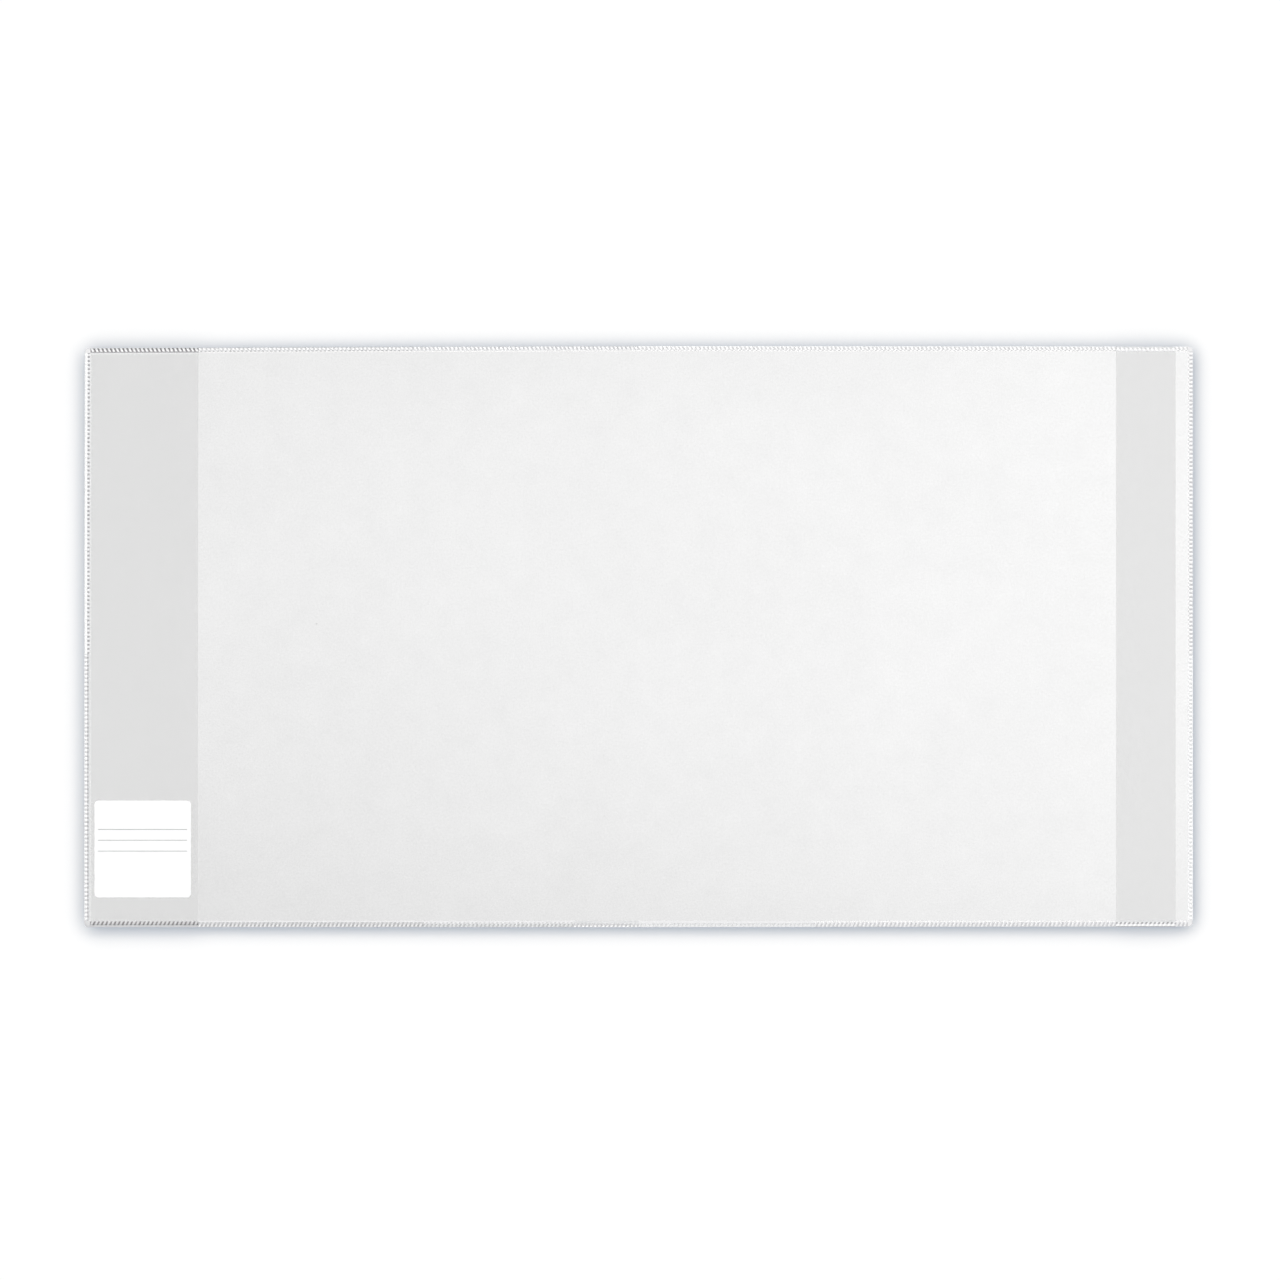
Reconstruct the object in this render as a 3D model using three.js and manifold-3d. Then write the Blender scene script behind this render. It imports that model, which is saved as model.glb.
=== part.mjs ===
// A clear cover for a school book, lying open and flat with its inside up, in millimetres.
// X runs across the two boards of the book, Y up the page and Z away from the table.
// The origin is under the middle of the cover, on the table.
// One film, folded at two lines, wraps the front board, the spine and the back board.
// A flap welded on three sides makes the pocket for the front board, and a band welded at
// its two ends holds the back board. A ribbed weld runs round the whole edge.

import * as THREE from "three";
import { mergeVertices } from "three/addons/utils/BufferGeometryUtils.js";
import Module from "manifold-3d";

// The whole cover, open and flat
const OPEN_WIDTH = 540;
const COVER_HEIGHT = 283;
const CORNER_RADIUS = 2;
const SPINE_WIDTH = 25;

// The films, and the slit that a board slides into
const COVER_FILM = 0.2;
const POCKET_FILM = 0.2;
const POCKET_SLIT = 0.3;

// The flap, from the left edge to its free edge, and the band near the right edge
const FLAP_WIDTH = 55.5;
const BAND_WIDTH = 29;
const BAND_INSET = 8.4;

// The weld: how wide it is, how far its valleys rise above the top film, and its ribs
const WELD_WIDTH = 2.5;
const WELD_RISE = 0.05;
const RIB_HEIGHT = 0.2;
const RIB_PITCH = 2;

// The paper label on the flap, and its margins to the cover's left and bottom edges
// and to the flap's free edge
const LABEL_HEIGHT = 47.2;
const LABEL_THICKNESS = 0.1;
const LABEL_CORNER_RADIUS = 2;
const LABEL_LEFT_MARGIN = 5;
const LABEL_FREE_MARGIN = 3.5;
const LABEL_BOTTOM_MARGIN = 14.5;

// Each half of a rounded corner is drawn with this many straight steps
const ARC_STEPS = 4;

// What follows from those sizes
const PANEL_WIDTH = (OPEN_WIDTH - SPINE_WIDTH) / 2;
const HALF_HEIGHT = COVER_HEIGHT / 2;
const FILM_HEIGHT = COVER_HEIGHT - 2 * WELD_WIDTH;
const POCKET_LEVEL = COVER_FILM + POCKET_SLIT;
const POCKET_TOP = POCKET_LEVEL + POCKET_FILM;
const SINGLE_VALLEY = COVER_FILM + WELD_RISE;
const DOUBLE_VALLEY = POCKET_TOP + WELD_RISE;

const wasm = await Module();
wasm.setup();

const film = { color: 0xe9ecef, roughness: 0.22, transparent: true, opacity: 0.35 };
const pocketFilm = { color: 0xdfe2e5, roughness: 0.15, transparent: true, opacity: 0.45 };
const weld = { color: 0xd3d7db, roughness: 0.3, transparent: true, opacity: 0.7 };
const paper = { color: 0xfbfbfb, roughness: 0.85 };

// A closed solid from a closed geometry, for cutting.
function solidOf(geometry) {
  const bare = geometry.clone();
  bare.deleteAttribute("normal");
  bare.deleteAttribute("uv");
  const merged = mergeVertices(bare);
  return new wasm.Manifold(
    new wasm.Mesh({
      numProp: 3,
      vertProperties: merged.attributes.position.array,
      triVerts: new Uint32Array(merged.index.array),
    }),
  );
}

// The geometry of a cut solid.
function geometryOf(solid) {
  const mesh = solid.getMesh();
  const geometry = new THREE.BufferGeometry();
  geometry.setAttribute("position", new THREE.BufferAttribute(mesh.vertProperties, mesh.numProp));
  geometry.setIndex(new THREE.BufferAttribute(mesh.triVerts, 1));
  geometry.computeVertexNormals();
  return geometry;
}

// Adds a named mesh with its own material to a group, at x, y and z in that group.
function add(group, name, geometry, finish, x, y, z) {
  const mesh = new THREE.Mesh(
    geometry,
    new THREE.MeshStandardMaterial({ metalness: 0, ...finish }),
  );
  mesh.name = name;
  mesh.position.set(x, y, z);
  group.add(mesh);
  return mesh;
}

// A flat film from x = left to x = right, between the welds at the top and the bottom.
function addFilm(group, name, finish, left, right, level, thickness) {
  const sheet = new THREE.BoxGeometry(right - left, FILM_HEIGHT, thickness);
  add(group, name, sheet, finish, (left + right) / 2, 0, level + thickness / 2);
}

// A bar along X from 0 to length, centred on Y, flat below and with ribs across its top.
function ribbedBar(length, width, valley) {
  const ribs = Math.max(1, Math.round(length / RIB_PITCH));
  const pitch = length / ribs;
  const side = new THREE.Shape();
  side.moveTo(0, 0);
  side.lineTo(length, 0);
  side.lineTo(length, valley);
  for (let rib = ribs - 1; rib >= 0; rib -= 1) {
    side.lineTo((rib + 1 / 2) * pitch, valley + RIB_HEIGHT);
    side.lineTo(rib * pitch, valley);
  }
  const bar = new THREE.ExtrudeGeometry(side, { depth: width, bevelEnabled: false });
  bar.rotateX(Math.PI / 2);
  bar.translate(0, width / 2, 0);
  return bar;
}

// The welds along the top and the bottom of the cover, from x = left to x = right.
function addWeldPair(group, name, left, right, valley) {
  const middle = HALF_HEIGHT - WELD_WIDTH / 2;
  const length = right - left;
  const names = { top: middle, bottom: -middle };
  for (const [place, y] of Object.entries(names)) {
    add(group, `${name}_${place}_weld`, ribbedBar(length, WELD_WIDTH, valley), weld, left, y, 0);
  }
}

// The plan of a side weld: its outer edge on x = 0, with both outer corners rounded.
function sideWeldPlan() {
  const plan = new THREE.Shape();
  const turn = Math.PI / 2;
  const radius = CORNER_RADIUS;
  plan.moveTo(WELD_WIDTH, -HALF_HEIGHT);
  plan.lineTo(WELD_WIDTH, HALF_HEIGHT);
  plan.lineTo(radius, HALF_HEIGHT);
  plan.absarc(radius, HALF_HEIGHT - radius, radius, turn, 2 * turn, false);
  plan.absarc(radius, radius - HALF_HEIGHT, radius, 2 * turn, 3 * turn, false);
  plan.closePath();
  return plan;
}

// A side weld, with its outer edge on x = 0 and its corners rounded in plan.
function sideWeld(valley) {
  const spare = 2 * RIB_PITCH;
  const bar = ribbedBar(COVER_HEIGHT + 2 * spare, WELD_WIDTH + 2 * spare, valley);
  bar.rotateZ(Math.PI / 2);
  bar.translate(WELD_WIDTH / 2, -HALF_HEIGHT - spare, 0);
  const depth = valley + RIB_HEIGHT + 2 * spare;
  const column = new THREE.ExtrudeGeometry(sideWeldPlan(), {
    depth,
    bevelEnabled: false,
    curveSegments: ARC_STEPS,
  });
  column.translate(0, 0, -spare);
  return geometryOf(solidOf(bar).intersect(solidOf(column)));
}

// A paper label with rounded corners, its lower left corner on the origin.
function labelSheet(width, height) {
  const radius = LABEL_CORNER_RADIUS;
  const turn = Math.PI / 2;
  const outline = new THREE.Shape();
  outline.absarc(width - radius, height - radius, radius, 0, turn, false);
  outline.absarc(radius, height - radius, radius, turn, 2 * turn, false);
  outline.absarc(radius, radius, radius, 2 * turn, 3 * turn, false);
  outline.absarc(width - radius, radius, radius, 3 * turn, 4 * turn, false);
  outline.closePath();
  return new THREE.ExtrudeGeometry(outline, {
    depth: LABEL_THICKNESS,
    bevelEnabled: false,
    curveSegments: ARC_STEPS,
  });
}

// The back half: x runs from the fold at 0 to the right edge.
function makeBackPanel() {
  const panel = new THREE.Group();
  const inner = PANEL_WIDTH - WELD_WIDTH;
  const bandRight = PANEL_WIDTH - BAND_INSET;
  const bandLeft = bandRight - BAND_WIDTH;
  addFilm(panel, "back_panel_film", film, 0, inner, 0, COVER_FILM);
  addFilm(panel, "back_board_band", pocketFilm, bandLeft, bandRight, POCKET_LEVEL, POCKET_FILM);
  addWeldPair(panel, "back", 0, bandLeft, SINGLE_VALLEY);
  addWeldPair(panel, "back_band", bandLeft, bandRight, DOUBLE_VALLEY);
  addWeldPair(panel, "back_corner", bandRight, inner, SINGLE_VALLEY);
  const edge = add(panel, "back_edge_weld", sideWeld(SINGLE_VALLEY), weld, PANEL_WIDTH, 0, 0);
  edge.rotation.z = Math.PI;
  return panel;
}

// The spine: x runs from the front fold at minus its width to the back fold at 0.
function makeSpine() {
  const spine = new THREE.Group();
  addFilm(spine, "spine_film", film, -SPINE_WIDTH, 0, 0, COVER_FILM);
  addWeldPair(spine, "spine", -SPINE_WIDTH, 0, SINGLE_VALLEY);
  return spine;
}

// The front half: x runs from the left edge to the fold at 0.
function makeFrontPanel() {
  const panel = new THREE.Group();
  const edge = -PANEL_WIDTH;
  const inner = edge + WELD_WIDTH;
  const freeEdge = edge + FLAP_WIDTH;
  addFilm(panel, "front_panel_film", film, inner, 0, 0, COVER_FILM);
  addFilm(panel, "front_pocket_flap", pocketFilm, inner, freeEdge, POCKET_LEVEL, POCKET_FILM);
  addWeldPair(panel, "front_pocket", inner, freeEdge, DOUBLE_VALLEY);
  addWeldPair(panel, "front", freeEdge, 0, SINGLE_VALLEY);
  add(panel, "front_edge_weld", sideWeld(DOUBLE_VALLEY), weld, edge, 0, 0);
  const labelLeft = edge + LABEL_LEFT_MARGIN;
  const labelWidth = freeEdge - LABEL_FREE_MARGIN - labelLeft;
  const labelBottom = LABEL_BOTTOM_MARGIN - HALF_HEIGHT;
  const label = labelSheet(labelWidth, LABEL_HEIGHT);
  add(panel, "name_label", label, paper, labelLeft, labelBottom, POCKET_TOP);
  return panel;
}

// Each group's own origin lies on the fold line that it turns about.
const cover = new THREE.Group();
const backPanel = makeBackPanel();
const spine = makeSpine();
const frontPanel = makeFrontPanel();
backPanel.position.x = SPINE_WIDTH / 2;
spine.position.x = SPINE_WIDTH / 2;
frontPanel.position.x = -SPINE_WIDTH;
spine.add(frontPanel);
cover.add(backPanel, spine);

export default cover;
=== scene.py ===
"""A clear cover for a school book, lying open and flat with its inside up, seen from straight above.

X runs from the front board's side to the back board's side, Y up the page and Z away from the table.
All sizes are in metres.
"""
import math

import bmesh
import bpy
import numpy as np
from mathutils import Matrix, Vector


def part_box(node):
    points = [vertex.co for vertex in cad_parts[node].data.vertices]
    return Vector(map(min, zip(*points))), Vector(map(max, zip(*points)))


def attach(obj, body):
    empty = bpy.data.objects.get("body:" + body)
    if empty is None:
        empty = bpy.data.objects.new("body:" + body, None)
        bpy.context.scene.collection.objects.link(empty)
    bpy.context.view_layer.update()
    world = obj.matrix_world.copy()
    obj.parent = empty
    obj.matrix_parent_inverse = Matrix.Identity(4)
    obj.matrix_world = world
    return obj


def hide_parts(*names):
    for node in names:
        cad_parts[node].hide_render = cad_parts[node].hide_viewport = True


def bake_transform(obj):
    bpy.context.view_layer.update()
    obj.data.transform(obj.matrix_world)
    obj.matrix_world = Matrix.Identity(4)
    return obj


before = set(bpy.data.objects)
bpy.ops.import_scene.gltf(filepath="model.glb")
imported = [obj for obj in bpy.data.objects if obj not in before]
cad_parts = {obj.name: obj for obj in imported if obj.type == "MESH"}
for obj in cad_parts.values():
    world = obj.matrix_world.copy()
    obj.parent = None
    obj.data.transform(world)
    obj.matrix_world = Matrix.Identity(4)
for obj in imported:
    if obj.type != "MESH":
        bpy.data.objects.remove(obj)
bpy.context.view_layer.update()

MM = 0.001

# The camera looks straight down. The photo's square frame is this wide at the table, with its middle here.
PHOTO_SPAN = 623.6 * MM
PHOTO_MIDDLE = (0.7 * MM, -1.61 * MM)
CAMERA_HEIGHT = 3.0
# The width of its sensor, in millimetres as Blender has it
SENSOR = 36.0

# The films are light and springy, so the cover lies a little above the floor, with a soft shadow round it.
FLOOR_DROP = 2.2 * MM
FLOOR_SIZE = 14.0

# The studio: an even sky and a brighter ring low down, as of strip lights, which leans to the top left.
# The ring's light rises and falls between these heights, as the sine of the angle above the floor.
SKY_EVEN = 0.288
SKY_RING = 3.04
RING_RISE = (0.1, 0.25)
RING_FALL = (0.35, 0.7)
RING_LEAN = (-0.22, 0.4, 0.0)

# The share of the light that the floor gives back, and the little that is added where the camera sees it
FLOOR_PALE = 0.95
FLOOR_LIFT = 0.03

# What the light keeps of each colour on its way through the cover's margin, to a floor close below
LAMP_SHADE = (0.0, 0.08, 0.19)
# What it keeps where the film is further in, or lifted off the floor
FAR_SHADE = (0.88, 0.88, 0.88)
# The flap and the band lie on the cover, whose shadow is deep enough
NO_SHADE = (1.0, 1.0, 1.0)
# Films that touch don't shade each other: the shade sets in between these distances.
SHADE_FROM = (1.0 * MM, 2.0 * MM)
# The deep shade gives way to the far one between these heights, and these distances from the outline
SHADE_HEIGHT = (2.0 * MM, 8.0 * MM)
SHADE_INSET = (8.0 * MM, 20.0 * MM)

# Where the pieces lie, from the frame
OPEN_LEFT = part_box("front_edge_weld")[0].x
OPEN_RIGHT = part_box("back_edge_weld")[1].x
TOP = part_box("front_edge_weld")[1].y
WELD_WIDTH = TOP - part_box("front_panel_film")[1].y
FLAP_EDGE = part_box("front_pocket_flap")[1].x
BAND_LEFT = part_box("back_board_band")[0].x
BAND_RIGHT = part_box("back_board_band")[1].x
FRONT_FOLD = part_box("spine_film")[0].x
BACK_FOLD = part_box("spine_film")[1].x
FILM_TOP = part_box("spine_film")[1].z
POCKET_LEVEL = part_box("front_pocket_flap")[0].z
POCKET_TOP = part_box("front_pocket_flap")[1].z
SINGLE_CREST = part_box("spine_top_weld")[1].z
DOUBLE_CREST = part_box("front_pocket_top_weld")[1].z

# The fold's soft corner, and the steps of the films' meshes
FOLD_REACH = 2 * MM
FOLD_STEP = 0.5 * MM
MESH_STEP = 5 * MM

# The films aren't quite flat, and their outline draws in a little towards some corners.
FILM_WAVE = 0.12 * MM
HOLD_REACH = 60 * MM
FLAP_BULGE = 0.1 * MM
# At each corner, left or right and bottom or top: how far in along X, and how far in along Y
CORNER_DRAW = {
    (-1, 1): (0.25 * MM, 0.95 * MM),
    (-1, -1): (0.0, 0.0),
    (1, 1): (0.0, 0.2 * MM),
    (1, -1): (0.0, 0.3 * MM),
}
# How the outline's draw gathers towards a corner, for the upright sides and for the level ones
DRAW_CURVE = (2.0, 1.3)

# The weld's ribs. Each fills RIB_FILL of its pitch, with a flank of RIB_FLANK on both sides, and slopes down
# over RIB_SLOPE at its two ends. Along the top and the bottom it leans by RIB_SLANT for each unit across.
RIB_PITCH = 2 * MM
RIB_HEIGHT = 0.2 * MM
RIB_SLANT = 0.45
RIB_FILL = 0.52
RIB_FLANK = 0.1
RIB_SLOPE = 0.1 * MM
CORNER_RADIUS = 2 * MM
CORNER_STEPS = 8


# Shader helpers

WHITE = (1.0, 1.0, 1.0, 1.0)


def add_node(tree, kind, inputs=None, **settings):
    """A node of this kind. An input's value is a socket to link or a plain value."""
    made = tree.nodes.new(kind)
    for key, value in settings.items():
        setattr(made, key, value)
    for key, value in (inputs or {}).items():
        if isinstance(value, bpy.types.NodeSocket):
            tree.links.new(value, made.inputs[key])
        else:
            made.inputs[key].default_value = value
    return made


def maths(tree, operation, *values):
    """The result of a Math node on sockets or numbers."""
    return add_node(tree, "ShaderNodeMath", dict(enumerate(values)), operation=operation).outputs[0]


def map_range(tree, value, start, end, low, high, smooth=False):
    """value mapped from start..end to low..high and held there."""
    kind = "SMOOTHSTEP" if smooth else "LINEAR"
    inputs = {"Value": value, "From Min": start, "From Max": end, "To Min": low, "To Max": high}
    return add_node(tree, "ShaderNodeMapRange", inputs, interpolation_type=kind).outputs["Result"]


def mix_colour(tree, share, first, second):
    """The colour that lies this share of the way from first to second."""
    inputs = {0: share, 6: first, 7: second}
    return add_node(tree, "ShaderNodeMix", inputs, data_type="RGBA").outputs[2]


def mix_shader(tree, share, first, second):
    """The shader that lies this share of the way from first to second."""
    return add_node(tree, "ShaderNodeMixShader", {0: share, 1: first, 2: second}).outputs[0]


def object_point(tree):
    """The surface point in the object's own frame, which is the part's frame at rest."""
    return add_node(tree, "ShaderNodeTexCoord").outputs["Object"]


def noise(tree, point, size, detail=2.0, roughness=0.5):
    """Soft noise from 0 to 1 about a half, with blobs about this size across."""
    inputs = {"Vector": point, "Scale": 1 / size, "Detail": detail, "Roughness": roughness}
    return add_node(tree, "ShaderNodeTexNoise", inputs).outputs["Fac"]


def new_material(name):
    """A material with an empty tree, and its output's surface socket."""
    made = bpy.data.materials.new(name)
    made.use_nodes = True
    made.node_tree.nodes.clear()
    surface = made.node_tree.nodes.new("ShaderNodeOutputMaterial").inputs["Surface"]
    return made, made.node_tree, surface


# The clear plastic

# How much its face mirrors when seen straight on, how much more seen along it, and how late that sets in
GLOSS_STRAIGHT = 0.04
GLOSS_GRAZING = 0.7
GLOSS_CURVE = 5.0
# The node's blend at which its facing is one less the cosine of the angle
PLAIN_FACING = 0.5
# The colour of a film's veil, and how rough the veil is
FILM_GREY = (0.3, 0.3, 0.3, 1)
VEIL_ROUGHNESS = 0.5


def gloss_share(tree, normal):
    """How much of the light a film's face mirrors, more at a low angle."""
    angle = {"Blend": PLAIN_FACING, "Normal": normal}
    facing = add_node(tree, "ShaderNodeLayerWeight", angle).outputs["Facing"]
    low_angle = maths(tree, "POWER", facing, GLOSS_CURVE)
    return maths(tree, "MULTIPLY_ADD", low_angle, GLOSS_GRAZING, GLOSS_STRAIGHT)


def lamp_side(tree, ray_length, lamp_shade):
    """What the lamps' light meets: a tint where it goes into the film, and nothing where it comes out."""
    place = add_node(tree, "ShaderNodeNewGeometry").outputs
    height = add_node(tree, "ShaderNodeSeparateXYZ", {0: place["Position"]}).outputs["Z"]
    apart = map_range(tree, ray_length, *SHADE_FROM, 0.0, 1.0, smooth=True)
    low = map_range(tree, height, *SHADE_HEIGHT, 1.0, 0.0, smooth=True)
    spot = add_node(tree, "ShaderNodeSeparateXYZ", {0: object_point(tree)}).outputs
    from_side = maths(tree, "SUBTRACT", OPEN_RIGHT, maths(tree, "ABSOLUTE", spot["X"]))
    from_end = maths(tree, "SUBTRACT", TOP, maths(tree, "ABSOLUTE", spot["Y"]))
    inset = maths(tree, "MINIMUM", from_side, from_end)
    margin = map_range(tree, inset, *SHADE_INSET, 1.0, 0.0, smooth=True)
    depth = maths(tree, "MULTIPLY", low, margin)
    shade = mix_colour(tree, depth, (*FAR_SHADE, 1), (*lamp_shade, 1))
    entering = maths(tree, "SUBTRACT", 1.0, place["Backfacing"])
    tint = mix_colour(tree, maths(tree, "MULTIPLY", apart, entering), WHITE, shade)
    return add_node(tree, "ShaderNodeBsdfTransparent", {"Color": tint}).outputs[0]


def finish_plastic(tree, surface, colour, veil, roughness, height, relief, lamp_shade=LAMP_SHADE):
    """Clear plastic: a veil of this colour over what is behind it, under a gloss, and dense to lamps.

    The gloss is the kind that doesn't spread far past its highlight, so the ring light stays out of it."""
    bump = {"Strength": 1.0, "Distance": relief, "Height": height}
    normal = add_node(tree, "ShaderNodeBump", bump).outputs["Normal"]
    inputs = {"Base Color": colour, "Roughness": VEIL_ROUGHNESS, "Alpha": veil, "Specular IOR Level": 0.0}
    veil_shader = add_node(tree, "ShaderNodeBsdfPrincipled", inputs).outputs["BSDF"]
    gloss = {"Color": WHITE, "Roughness": roughness, "Normal": normal}
    mirror = add_node(tree, "ShaderNodeBsdfAnisotropic", gloss, distribution="BECKMANN").outputs["BSDF"]
    seen = mix_shader(tree, gloss_share(tree, normal), veil_shader, mirror)
    path = add_node(tree, "ShaderNodeLightPath").outputs
    shade = lamp_side(tree, path["Ray Length"], lamp_shade)
    bounced = mix_shader(tree, path["Is Diffuse Ray"], seen, shade)
    tree.links.new(mix_shader(tree, path["Is Shadow Ray"], bounced, shade), surface)


# How much light the open film lets through at its left and its right; its rise to the right is painted light
OPEN_CLEAR_WITH_PAINTED_LIGHT = (0.802, 0.93)
# Painted shade: how much less it lets through at its lower edge, left and right, and at its upper edge,
# where each fall starts, and how it gathers towards the lower edge
LOWER_PAINTED_SHADE = (0.132, 0.089)
LOWER_SHADE_START = 80 * MM
LOWER_SHADE_CURVE = 2.4
UPPER_PAINTED_SHADE = 0.018
UPPER_SHADE_START = 97 * MM
# The cover film's clearness under the flap and under the band, that of these two, and how far each drifts
UNDER_FLAP_CLEAR = 0.845
UNDER_BAND_CLEAR = 0.93
FLAP_CLEAR = 0.787
BAND_CLEAR = 0.785
COVER_DRIFT = 0.015
FLAP_DRIFT = 0.02
BAND_DRIFT = 0.015
# Painted shade: the flap and the band too are a little denser lower down, from here on
FLAP_PAINTED_SHADE = 0.03
BAND_PAINTED_SHADE = 0.02
POCKET_SHADE_START = -50 * MM
# One face's veil for each part of the light that both faces are to keep back
VEIL_FOR_LOSS = 0.62

# The open film's patterns, how far the clearness varies with each, and the relief of its grain
GRAIN = {"size": 1.1 * MM, "detail": 3.0, "roughness": 0.75}
MOTTLE = {"size": 14 * MM, "detail": 5.0, "roughness": 0.7}
CLOUDS = {"size": 90 * MM, "detail": 3.0, "roughness": 0.55}
GRAIN_DEPTH = 0.12
MOTTLE_DEPTH = 0.115
CLOUD_DEPTH = 0.07
GRAIN_RELIEF = 0.02 * MM
# Its specks lie in cells of this size, in the few whose random number is above SPECK_RARE. Each
# fades out between these parts of a cell, and its clearness is less by SPECK_LOSS.
SPECK_CELL = 26 * MM
SPECK_RARE = 0.93
SPECK_FADE = (0.012, 0.03)
SPECK_LOSS = 0.2
# How rough the gloss is, least and most, where the mottle or the drift is in this middle range
OPEN_ROUGHNESS = (0.2, 0.34)
OPEN_RANGE = (0.2, 0.8)
SMOOTH_ROUGHNESS = (0.08, 0.16)
SMOOTH_RANGE = (0.25, 0.75)
# The smooth films' patterns run along the page
DRIFT_STRETCH = (1.0, 0.35, 1.0)
DRIFT = {"size": 30 * MM, "detail": 4.0, "roughness": 0.6}
RIPPLE_SIZE = 12 * MM
RIPPLE_RELIEF = 0.05 * MM


def clearness_with_painted_light(tree, point):
    """The open film's clearness, with painted light: lighter to the right, with painted shade towards its
    lower and upper edges.
    """
    place = add_node(tree, "ShaderNodeSeparateXYZ", {0: point}).outputs
    across = map_range(tree, place["X"], FLAP_EDGE, BAND_LEFT, 0.0, 1.0)
    clear = map_range(tree, across, 0.0, 1.0, *OPEN_CLEAR_WITH_PAINTED_LIGHT)
    lower_shade = map_range(tree, place["Y"], LOWER_SHADE_START, -TOP, 0.0, 1.0)
    lower_shade = maths(tree, "POWER", lower_shade, LOWER_SHADE_CURVE)
    lower_shade = maths(tree, "MULTIPLY", lower_shade, map_range(tree, across, 0.0, 1.0, *LOWER_PAINTED_SHADE))
    upper_shade = map_range(tree, place["Y"], UPPER_SHADE_START, TOP, 0.0, UPPER_PAINTED_SHADE)
    return maths(tree, "SUBTRACT", maths(tree, "SUBTRACT", clear, lower_shade), upper_shade)


def veil_of(tree, clear):
    """One face's veil, for a film that lets this share of the light through."""
    return maths(tree, "MULTIPLY", maths(tree, "SUBTRACT", 1.0, clear), VEIL_FOR_LOSS)


def specks(tree, point):
    """1 in the middle of each speck, and 0 between them."""
    inputs = {"Vector": point, "Scale": 1 / SPECK_CELL, "Randomness": 1.0}
    cells = add_node(tree, "ShaderNodeTexVoronoi", inputs).outputs
    chance = add_node(tree, "ShaderNodeSeparateColor", {0: cells["Color"]}).outputs[0]
    chosen = maths(tree, "GREATER_THAN", chance, SPECK_RARE)
    near = map_range(tree, cells["Distance"], *SPECK_FADE, 1.0, 0.0, smooth=True)
    return maths(tree, "MULTIPLY", chosen, near)


def make_open_film():
    """The cover film where it lies alone: a fine matt grain, soft clouds and a few specks."""
    made, tree, surface = new_material("cover_film_grained")
    point = object_point(tree)
    # Painted light: the veil is lighter to the right and darker towards the lower and upper edges
    clear = clearness_with_painted_light(tree, point)
    grain = noise(tree, point, **GRAIN)
    mottle = noise(tree, point, **MOTTLE)
    clouds = noise(tree, point, **CLOUDS)
    for pattern, depth in (grain, GRAIN_DEPTH), (mottle, MOTTLE_DEPTH), (clouds, CLOUD_DEPTH):
        centred = maths(tree, "SUBTRACT", pattern, 0.5)
        clear = maths(tree, "MULTIPLY_ADD", centred, depth, clear)
    clear = maths(tree, "MULTIPLY_ADD", specks(tree, point), -SPECK_LOSS, clear)
    rough = map_range(tree, mottle, *OPEN_RANGE, *OPEN_ROUGHNESS)
    finish_plastic(tree, surface, FILM_GREY, veil_of(tree, clear), rough, grain, GRAIN_RELIEF)
    return made


def make_smooth_film(name, clear_share, drift, painted_shade=0.0, lamp_shade=LAMP_SHADE):
    """A smooth film: even, with a faint drift in its clearness and long soft ripples in its gloss."""
    made, tree, surface = new_material(name)
    point = object_point(tree)
    stretch = {"Vector": point, "Scale": DRIFT_STRETCH}
    stretched = add_node(tree, "ShaderNodeMapping", stretch).outputs[0]
    changes = noise(tree, stretched, **DRIFT)
    centred = maths(tree, "SUBTRACT", changes, 0.5)
    clear = maths(tree, "MULTIPLY_ADD", centred, drift, clear_share)
    height = add_node(tree, "ShaderNodeSeparateXYZ", {0: point}).outputs["Y"]
    # Painted shade: the film is made a little darker lower down
    clear = maths(tree, "SUBTRACT", clear, map_range(tree, height, POCKET_SHADE_START, -TOP, 0.0, painted_shade))
    ripple = noise(tree, stretched, RIPPLE_SIZE)
    rough = map_range(tree, changes, *SMOOTH_RANGE, *SMOOTH_ROUGHNESS)
    veil = veil_of(tree, clear)
    finish_plastic(tree, surface, FILM_GREY, veil, rough, ripple, RIPPLE_RELIEF, lamp_shade)
    return made


# The weld's unevenness from rib to rib and its fine relief, and the paper's mottle and fibres
WELD_CHANGE = {"size": 2.6 * MM, "roughness": 0.6}
WELD_FINE_SIZE = 0.4 * MM
WELD_RELIEF = 0.02 * MM
PAPER_PATCHES = {"size": 4 * MM, "detail": 3.0}
FIBRES = {"size": 0.35 * MM, "detail": 4.0, "roughness": 0.7}
FIBRE_RELIEF = 0.01 * MM
PAPER_ROUGHNESS = 0.8
PAPER_SHINE = 0.2
# The middle range of a noise, over which these materials change from their least to their most
NOISE_RANGE = (0.3, 0.7)


def make_weld_plastic(name, colour, veil, spread, roughness):
    """Plastic pressed in the weld, with its veil changing a little from rib to rib."""
    made, tree, surface = new_material(name)
    point = object_point(tree)
    change = noise(tree, point, **WELD_CHANGE)
    fine = noise(tree, point, WELD_FINE_SIZE)
    share = map_range(tree, change, *NOISE_RANGE, veil - spread, veil + spread)
    finish_plastic(tree, surface, (*colour, 1), share, roughness, fine, WELD_RELIEF)
    return made


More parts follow.
